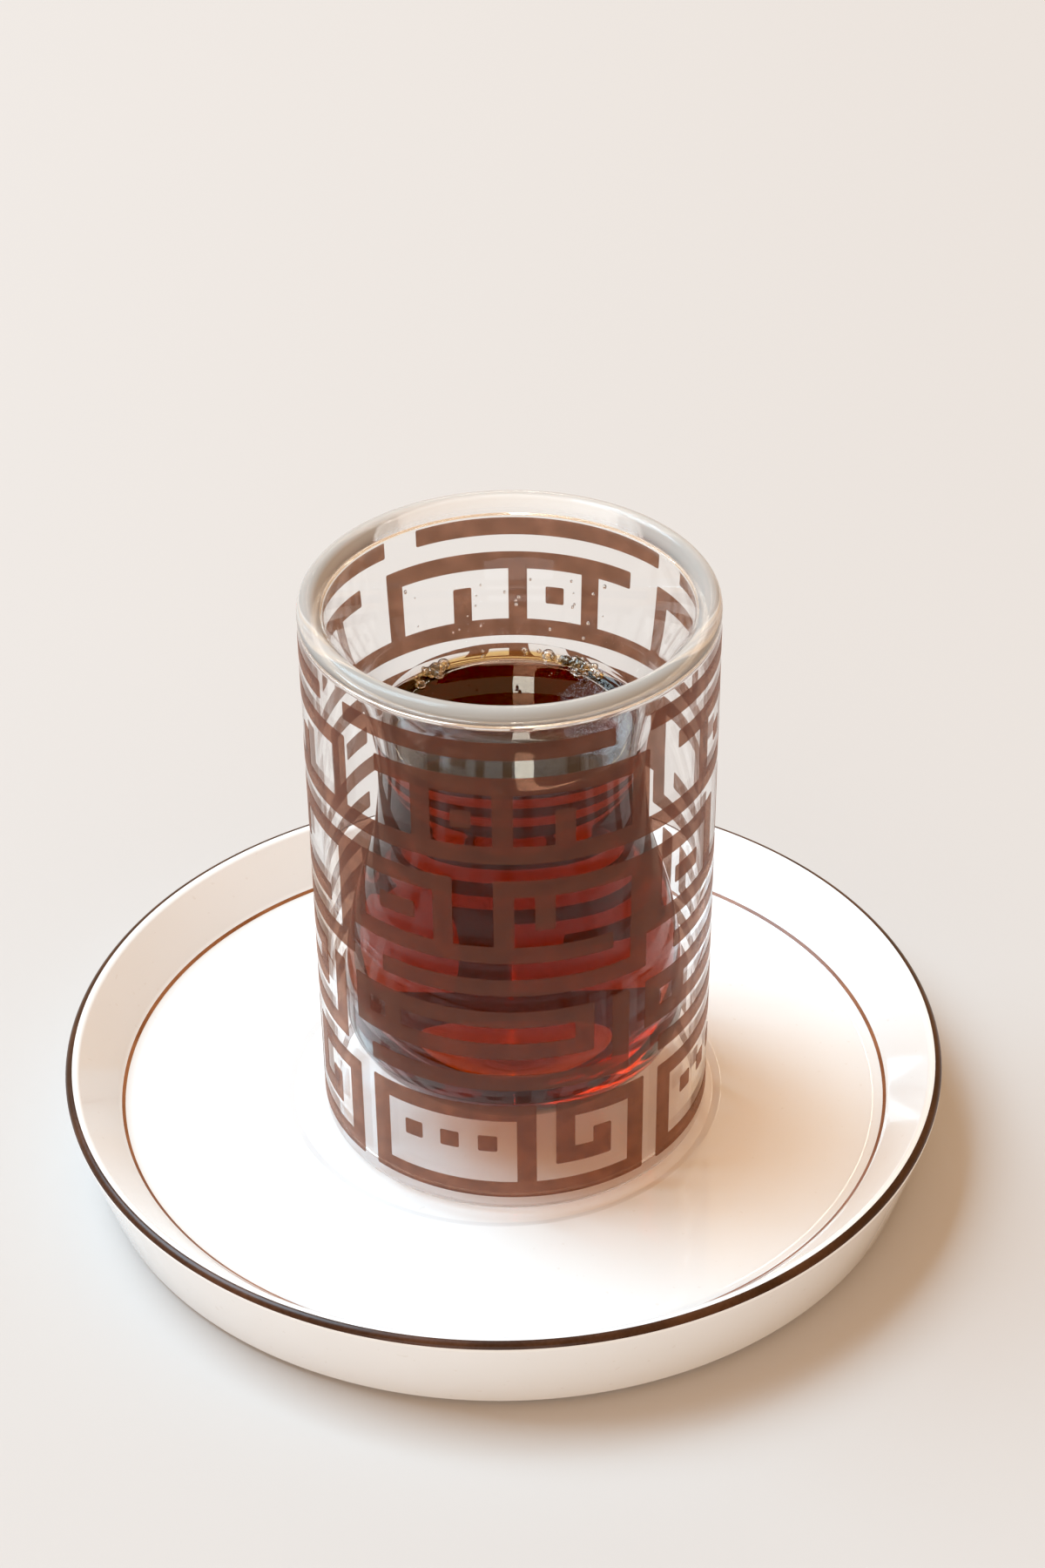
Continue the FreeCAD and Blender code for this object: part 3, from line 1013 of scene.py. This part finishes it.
@dataclass
class Tea:
    """The tea, with the curved edge where it climbs the glass."""

    axis: Vector
    form: GlassForm
    level: float
    overlap: float = 0.10 * MM
    lift: float = 0.9 * MM
    climb: float = 1.5 * MM
    climb_reach: float = 0.8 * MM
    climb_steps: int = 14
    climb_width: float = 8.0 * MM
    flat_step: float = 2.0 * MM
    open_depth: float = 0.5 * MM
    open_slack: float = 0.25 * MM
    finish: BlackTea = BlackTea()

    def surface_height(self, across: float) -> float:
        """The height of the surface at a distance from the axis."""
        edge = self.form.vessel_radius(self.level + self.climb)
        return self.level + self.climb * math.exp((across - edge) / self.climb_reach)

    def _is_open(self, place: Vector) -> bool:
        """Whether a place on the tea lies on its free surface."""
        across, height = section_of(place, self.axis)
        return (height > self.level - self.open_depth
                and abs(height - self.surface_height(across)) < self.open_slack)

    def _across(self, edge: float) -> Iterator[float]:
        """Steps from the edge of the surface to its middle, closest where it climbs.

        Args:
            edge: how far the edge is from the axis.

        Yields:
            Each step's distance from the axis.
        """
        for number in range(self.climb_steps + 1):
            yield edge - (number / self.climb_steps) ** 2 * self.climb_width
        across = edge - self.climb_width
        while across > 1.5 * self.flat_step:
            across -= self.flat_step
            yield across
        yield 0.0

    def build(self) -> None:
        """Builds and dresses the tea."""
        form = self.form
        top = self.level + self.climb
        flare = form.flare_radius - self.overlap
        lean = math.asin((top - form.waist_height) / flare)
        skin = form.inner_skin.grown(self.overlap)
        lathe = Lathe("black_tea", self.axis, skin[0].point(skin[0].begin))
        lathe.arcs(*skin, Arc(form.flare_centre, flare, math.pi, math.pi - lean))
        for across in self._across(form.vessel_radius(top)):
            lathe.line((across, self.surface_height(across)))
        tea = lathe.spin()
        mark_faces(tea, OPEN, self._is_open)
        dress(tea, self.finish.material(self.axis.z + self.level), Slot.TEA, "tea")


# ---- The printed fret ----

Cell = tuple[int, int]


def bar(column: int, row: int, length: int) -> set[Cell]:
    """A run of cells along a row."""
    return {(column + step, row) for step in range(length)}


def stem(column: int, row: int, length: int) -> set[Cell]:
    """A run of cells up a column."""
    return {(column, row + step) for step in range(length)}


def window(column: int, row: int, width: int, height: int) -> set[Cell]:
    """A square frame."""
    return (bar(column, row, width) | bar(column, row + height - 1, width)
            | stem(column, row, height) | stem(column + width - 1, row, height))


def spiral(column: int, row: int, size: int) -> set[Cell]:
    """A squared spiral that starts at its lower right corner and curls inwards."""
    return (bar(column, row, size) | stem(column, row, size)
            | bar(column, row + size - 1, size - 2) | stem(column + 2, row + 2, size - 2))


@dataclass
class PrintedFret:
    """The brown angular fret printed round the outside of the glass."""

    axis: Vector
    form: GlassForm
    columns: int = 64
    repeat: int = 16
    first: int = -9
    rows: int = 28
    unit: float = 2.98 * MM
    lowest: float = 3.44 * MM
    splits: int = 4
    thickness: float = 0.07 * MM
    offset: float = 0.2
    corner: float = 0.28 * MM
    finish: Enamel = Enamel()

    def cells(self) -> set[Cell]:
        """Every printed cell, by column round the glass and row up it.

        Returns:
            The cells.
        """
        # Two bands under the lip and a third below, with a dotted window between them.
        top = (bar(0, 27, 14) | bar(2, 25, 14) | bar(0, 21, 16) | stem(15, 21, 5)
               | window(4, 21, 5, 5) | {(6, 23)} | stem(11, 21, 3))
        # Bands joined in hairpins, with a squared spiral above them.
        middle = (bar(0, 15, 14) | bar(2, 13, 14) | stem(15, 13, 7) | bar(11, 19, 5)
                  | spiral(8, 15, 5) | bar(0, 19, 6) | stem(0, 15, 5) | stem(5, 15, 5)
                  | bar(2, 17, 2))
        # Closer bands, ended by stems, with a small window beside them.
        low = (bar(3, 11, 10) | window(0, 9, 3, 3) | bar(3, 9, 10) | bar(1, 7, 13)
               | stem(14, 7, 5) | stem(12, 9, 3))
        # The open field round the foot: a long frame with three dots, and a squared spiral.
        foot = (bar(1, 5, 9) | stem(1, 0, 6) | stem(9, 0, 6) | {(3, 3), (5, 3), (7, 3)}
                | stem(15, 0, 6) | bar(11, 5, 5) | stem(11, 2, 4) | bar(11, 2, 3) | {(13, 3)}
                | bar(1, 0, 15))
        turns = range(self.first, self.first + self.columns, self.repeat)
        return {((column + turn) % self.columns, row)
                for column, row in top | middle | low | foot for turn in turns}

    def _ring(self) -> Piece:
        """A sleeve of faces round the wall, row on row.

        Returns:
            The sleeve.
        """
        sleeve = add("printed_fret", bpy.ops.mesh.primitive_circle_add, fill_type="NOTHING",
                     vertices=self.columns * self.splits, location=self.axis + UP * self.lowest,
                     radius=self.form.wall_radius(self.lowest))
        edit(sleeve)
        for row in range(self.rows):
            height = self.lowest + row * self.unit
            wider = self.form.wall_radius(height + self.unit) / self.form.wall_radius(height)
            bpy.ops.mesh.extrude_region_move(TRANSFORM_OT_translate={"value": UP * self.unit})
            bpy.ops.transform.resize(value=(wider, wider, 1.0), center_override=self.axis)
        leave()
        return sleeve

    def _cell_of(self, place: Vector) -> Cell:
        """The cell that a place on the wall lies in.

        Args:
            place: the place.

        Returns:
            Its column, counted from the front, and its row.
        """
        away = place - self.axis
        turn = math.atan2(away.x, -away.y) % TAU
        return (int(turn / TAU * self.columns), int((away.z - self.lowest) / self.unit))

    def build(self) -> None:
        """Builds and dresses the print."""
        sleeve = self._ring()
        printed = self.cells()
        pick(sleeve, "FACE", lambda face: self._cell_of(face.center) not in printed)
        bpy.ops.mesh.delete(type="FACE")
        leave()
        uses = Counter(point for face in sleeve.data.polygons for point in face.vertices)
        pick(sleeve, "VERT", lambda point: uses[point.index] == 1)
        bpy.ops.mesh.bevel(offset=self.corner, segments=3, affect="VERTICES")
        leave()
        seal(sleeve)
        thicken(sleeve, self.thickness, self.offset)
        smooth(sleeve)
        dress(sleeve, self.finish.material(), Slot.ENAMEL)


# ---- The saucer ----


@dataclass
class Saucer:
    """The white saucer with its flared rim, its foot, its well and two painted lines."""

    centre: Vector
    height: float
    glass_base_radius: float
    radius: float = 69.0 * MM
    floor: float = 8.1 * MM
    rim_width: float = 9.4 * MM
    underside: float = 3.0 * MM
    foot_inset: float = 6.4 * MM
    foot_width: float = 6.6 * MM
    foot_slope: float = 1.6 * MM
    side_lean: float = 4.7 * MM
    foot_step: float = 1.1 * MM
    rim_thickness: float = 2.3 * MM
    rim_round: float = 1.1 * MM
    cove: float = 4.0 * MM
    well_room: float = 3.1 * MM
    well_depth: float = 0.35 * MM
    well_slope: float = 1.2 * MM
    soft_edge: float = 0.6 * MM
    segments: int = 256
    paint: float = 0.03 * MM
    rim_line: Span = (math.radians(16), math.radians(88))
    floor_line_radius: float = 60.0 * MM
    floor_line_width: float = 0.6 * MM
    finish: WhiteGlaze = WhiteGlaze()
    rim_paint: BandedLine = BandedLine(
        "rim_banding", dark=(0.032, 0.011, 0.006), light=(0.080, 0.030, 0.015))
    floor_paint: BandedLine = BandedLine(
        "floor_banding", dark=(0.22, 0.070, 0.025), light=(0.36, 0.140, 0.060))

    def _rounds(self) -> list[Arc]:
        """The rounds of the section's corners, from under the middle outwards and back.

        Returns:
            The foot's four, the rim's outer and inner one, the cove and the well's two.
        """
        foot_out = self.radius - self.foot_inset
        foot_in = foot_out - self.foot_width
        well = self.glass_base_radius + self.well_room
        well_floor = self.floor - self.well_depth
        corners = (
            ((0.0, self.underside), 0.0),
            ((foot_in - self.foot_slope, self.underside), 2 * self.soft_edge),
            ((foot_in, 0.0), self.soft_edge),
            ((foot_out, 0.0), self.soft_edge),
            ((self.radius - self.side_lean, self.foot_step), 2 * self.soft_edge),
            ((self.radius, self.height), self.rim_round),
            ((self.radius - self.rim_thickness, self.height), self.rim_round),
            ((self.radius - self.rim_width, self.floor), self.cove),
            ((well + self.well_slope, self.floor), 2 * self.soft_edge),
            ((well, well_floor), 2 * self.soft_edge),
            ((0.0, well_floor), 0.0),
        )
        return [rounded(before, corner, after, radius) for (before, _), (corner, radius),
                (after, _) in zip(corners, corners[1:], corners[2:])]

    def _body(self) -> Piece:
        """The porcelain.

        Returns:
            The piece.
        """
        lathe = Lathe("saucer_porcelain", self.centre, (0.0, self.underside))
        lathe.arcs(*self._rounds()).line((0.0, self.floor - self.well_depth))
        return lathe.spin(self.segments)

    def _line_on(self, name: str, curve: Arc, begin: float, end: float) -> Piece:
        """A painted line that hugs one round of the section.

        Args:
            name: the line's name.
            curve: the round.
            begin: the angle at which the line starts.
            end: the angle at which it ends.

        Returns:
            The line.
        """
        over = Arc(curve.centre, curve.radius, begin, end).grown(self.paint)
        under = over.grown(-2 * self.paint).reverse()
        lathe = Lathe(name, self.centre, over.point(begin))
        return lathe.arcs(over, under).line(over.point(begin)).spin(self.segments)

    def build(self) -> None:
        """Builds and dresses the saucer and its lines."""
        dress(self._body(), self.finish.material(), Slot.PORCELAIN, "saucer")
        rim, _, cove = self._rounds()[4:7]
        lean = math.asin((self.floor_line_radius - cove.centre[0]) / cove.radius)
        half = self.floor_line_width / 2 / cove.radius
        middle = lean - math.pi / 2
        edge = self._line_on("saucer_rim_line", rim, *self.rim_line)
        floor = self._line_on("saucer_floor_line", cove, middle - half, middle + half)
        dress(edge, self.rim_paint.material(), Slot.ENAMEL)
        dress(floor, self.floor_paint.material(), Slot.ENAMEL)


# ---- Small wet things ----


@dataclass(frozen=True)
class Cluster:
    """Bubbles gathered at one stretch of the tea's edge."""

    turn: float  # degrees round from the front
    spread: float  # radians
    count: int
    scale: float = 1.0


@dataclass
class Froth:
    """The few bubbles that cling to the tea's edge, and the drops above it."""

    tea: Tea
    seed: int = 11
    clusters: tuple[Cluster, ...] = (
        Cluster(147, 0.26, 28), Cluster(-140, 0.18, 16), Cluster(-168, 0.03, 3, 0.5),
        Cluster(171, 0.05, 3, 0.5))
    along: float = 0.5
    inwards: float = 0.9 * MM
    bubble_radius: Span = (0.35 * MM, 1.05 * MM)
    sunk: float = 0.35
    skin: float = 0.35
    drops: int = 26
    drop_turn: Span = (-0.75, 0.75)
    drop_rise: Span = (2.0 * MM, 11.0 * MM)
    drop_radius: Span = (0.12 * MM, 0.33 * MM)
    drop_shape: Place = (0.9, 0.9, 1.15)
    finish: WetFilm = WetFilm()

    def _place(self, turn: float, across: float, height: float) -> Vector:
        """A place in the glass, by its turn from the front, reach and height."""
        return self.tea.axis + Vector((across * math.sin(turn), -across * math.cos(turn), height))

    def _bubble(self, place: Vector, radius: float) -> Piece:
        """One bubble: a thin dome that stands on the tea.

        Args:
            place: the middle of its foot.
            radius: its radius.

        Returns:
            The bubble.
        """
        bubble = add("bubble", bpy.ops.mesh.primitive_ico_sphere_add, subdivisions=3,
                     radius=radius, location=place)
        edit(bubble)
        foot = place - UP * radius * self.sunk
        bpy.ops.mesh.bisect(plane_co=foot, plane_no=UP, clear_inner=True)
        leave()
        thicken(bubble, self.skin * radius)
        return bubble

    def _places(self) -> Iterator[tuple[Vector, float]]:
        """Where the bubbles sit, and how large they are.

        Yields:
            Each one's place and radius.
        """
        rng = random.Random(self.seed)
        edge = self.tea.form.vessel_radius(self.tea.level + self.tea.climb)
        for cluster in self.clusters:
            for _ in range(cluster.count):
                radius = rng.uniform(*self.bubble_radius) * cluster.scale
                turn = math.radians(cluster.turn) + rng.gauss(0.0, self.along) * cluster.spread
                across = edge - radius - abs(rng.gauss(0.0, self.inwards))
                yield self._place(turn, across, self.tea.surface_height(across)), radius

    def _drop(self, rng: random.Random, turn: float) -> Piece:
        """One drop left on the inside of the glass, above the tea.

        Args:
            rng: the source of its height and size.
            turn: where it is, round from the front.

        Returns:
            The drop.
        """
        height = self.tea.level + self.tea.climb + rng.uniform(*self.drop_rise)
        place = self._place(turn, self.tea.form.vessel_radius(height), height)
        drop = add("drop", bpy.ops.mesh.primitive_ico_sphere_add, subdivisions=3,
                   radius=rng.uniform(*self.drop_radius), location=place)
        edit(drop)
        bpy.ops.transform.resize(value=self.drop_shape, center_override=place)
        leave()
        return drop

    def build(self) -> None:
        """Builds and dresses the bubbles, as one piece, and the drops, as another."""
        bubbles = [self._bubble(place, radius) for place, radius in self._places()]
        rng = random.Random(self.seed)
        drops = [self._drop(rng, math.pi + rng.uniform(*self.drop_turn))
                 for _ in range(self.drops)]
        for wet, name in ((bubbles, "tea_bubbles"), (drops, "tea_drops")):
            piece = join(wet, name)
            smooth(piece)
            dress(piece, self.finish.material(), Slot.TEA)


# ---- The table, the light and the camera ----


@dataclass(frozen=True)
class Lamp:
    """A soft oblong lamp."""

    name: str
    place: Place
    aim_height: float  # what it points at, on the upright through the origin
    size: tuple[float, float]
    watts: float
    colour: Colour

    def hang(self) -> None:
        """Puts the lamp in the scene."""
        data = bpy.data.lights.new(self.name, "AREA")
        data.shape = "RECTANGLE"
        data.size, data.size_y = self.size
        data.energy = self.watts
        data.color = self.colour
        lamp = bpy.data.objects.new(self.name, data)
        bpy.context.scene.collection.objects.link(lamp)
        lamp.location = self.place
        aim = UP * self.aim_height - Vector(self.place)
        lamp.rotation_euler = aim.to_track_quat("-Z", "Y").to_euler()


@dataclass
class Studio:
    """A pale table, soft light and the camera."""

    eye: Place = (0.0, -0.4547, 0.3832)
    yaw: float = math.radians(0.432)
    pitch: float = math.radians(34.94)
    roll: float = math.radians(-0.618)
    lens: float = 85.2  # in millimetres
    sensor: float = 36.0  # in millimetres
    clip: float = 10 * MM
    table_size: float = 18.0
    table_cuts: int = 8
    sky: Colour = (1.0, 0.64, 0.36)
    sky_strength: float = 0.82
    black_level: Colour = (0.001, 0.005, 0.007)
    lamps: tuple[Lamp, ...] = (
        Lamp("window", (-1.8, 0.7, 3.0), 0.03, (2.2, 2.2), 177.0, (0.58, 0.83, 1.0)),
        Lamp("front_fill", (-0.2, -1.6, 0.45), 0.03, (1.4, 0.5), 5.5, (0.75, 0.90, 1.0)),
        Lamp("far_strip", (0.02, 1.45, 1.05), 0.07, (0.02, 0.5), 0.5, (1.0, 0.95, 0.80)),
    )

    def _table(self) -> None:
        """The table top, which is not part of the object."""
        table = add("table", bpy.ops.mesh.primitive_plane_add, size=self.table_size)
        edit(table)
        bpy.ops.mesh.subdivide(number_cuts=self.table_cuts)
        leave()
        table.data.materials.append(TableTop().material())

    def _camera(self) -> None:
        """The camera, above the front of the table."""
        data = bpy.data.cameras.new("camera")
        data.lens = self.lens
        data.sensor_width = self.sensor
        data.clip_start = self.clip
        camera = bpy.data.objects.new("camera", data)
        bpy.context.scene.collection.objects.link(camera)
        turned = Matrix.Rotation(-self.yaw, 4, "Z") @ Matrix.Rotation(TAU / 4 - self.pitch, 4, "X")
        facing = turned @ Matrix.Rotation(self.roll, 4, "Z")
        camera.matrix_world = Matrix.Translation(self.eye) @ facing
        bpy.context.scene.camera = camera

    def _sky(self) -> None:
        """Dim warm light from all round."""
        world = bpy.data.worlds.new("room")
        bpy.context.scene.world = world
        world.use_nodes = True
        back = world.node_tree.nodes["Background"]
        back.inputs["Color"].default_value = with_alpha(self.sky)
        back.inputs["Strength"].default_value = self.sky_strength

    def _exposure(self) -> None:
        """How the light is turned into colours, and how far it is followed through glass."""
        scene = bpy.context.scene
        scene.view_settings.view_transform = "Standard"
        scene.view_settings.look = "None"
        scene.view_settings.use_curve_mapping = True
        scene.view_settings.curve_mapping.black_level = self.black_level
        scene.view_settings.curve_mapping.update()
        scene.cycles.max_bounces = 20
        scene.cycles.transmission_bounces = 16
        scene.cycles.transparent_max_bounces = 24

    def build(self) -> None:
        """Sets the table, the lights and the camera."""
        self._table()
        self._camera()
        self._sky()
        for lamp in self.lamps:
            lamp.hang()
        self._exposure()


def main() -> None:
    """Builds every piece in order and reports it."""
    logging.basicConfig(level=logging.INFO, format="%(name)s %(message)s", stream=sys.stdout)
    glass_low, glass_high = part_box("glass")
    saucer_low, saucer_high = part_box("saucer")
    _, tea_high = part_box("tea")
    rim_radius = (glass_high.x - glass_low.x) / 2
    axis = Vector(((glass_low.x + glass_high.x) / 2, (glass_low.y + glass_high.y) / 2,
                   glass_low.z))
    form = GlassForm(glass_high.z - glass_low.z, rim_radius - GlassForm.flare)
    Saucer(UP * saucer_low.z, saucer_high.z - saucer_low.z, form.base_radius).build()
    tea = Tea(axis, form, tea_high.z - axis.z + Tea.lift)
    TeaGlass(axis, form, tea.level + tea.climb).build()
    tea.build()
    PrintedFret(axis, form).build()
    Froth(tea).build()
    Studio().build()


if __name__ == "__main__":
    main()
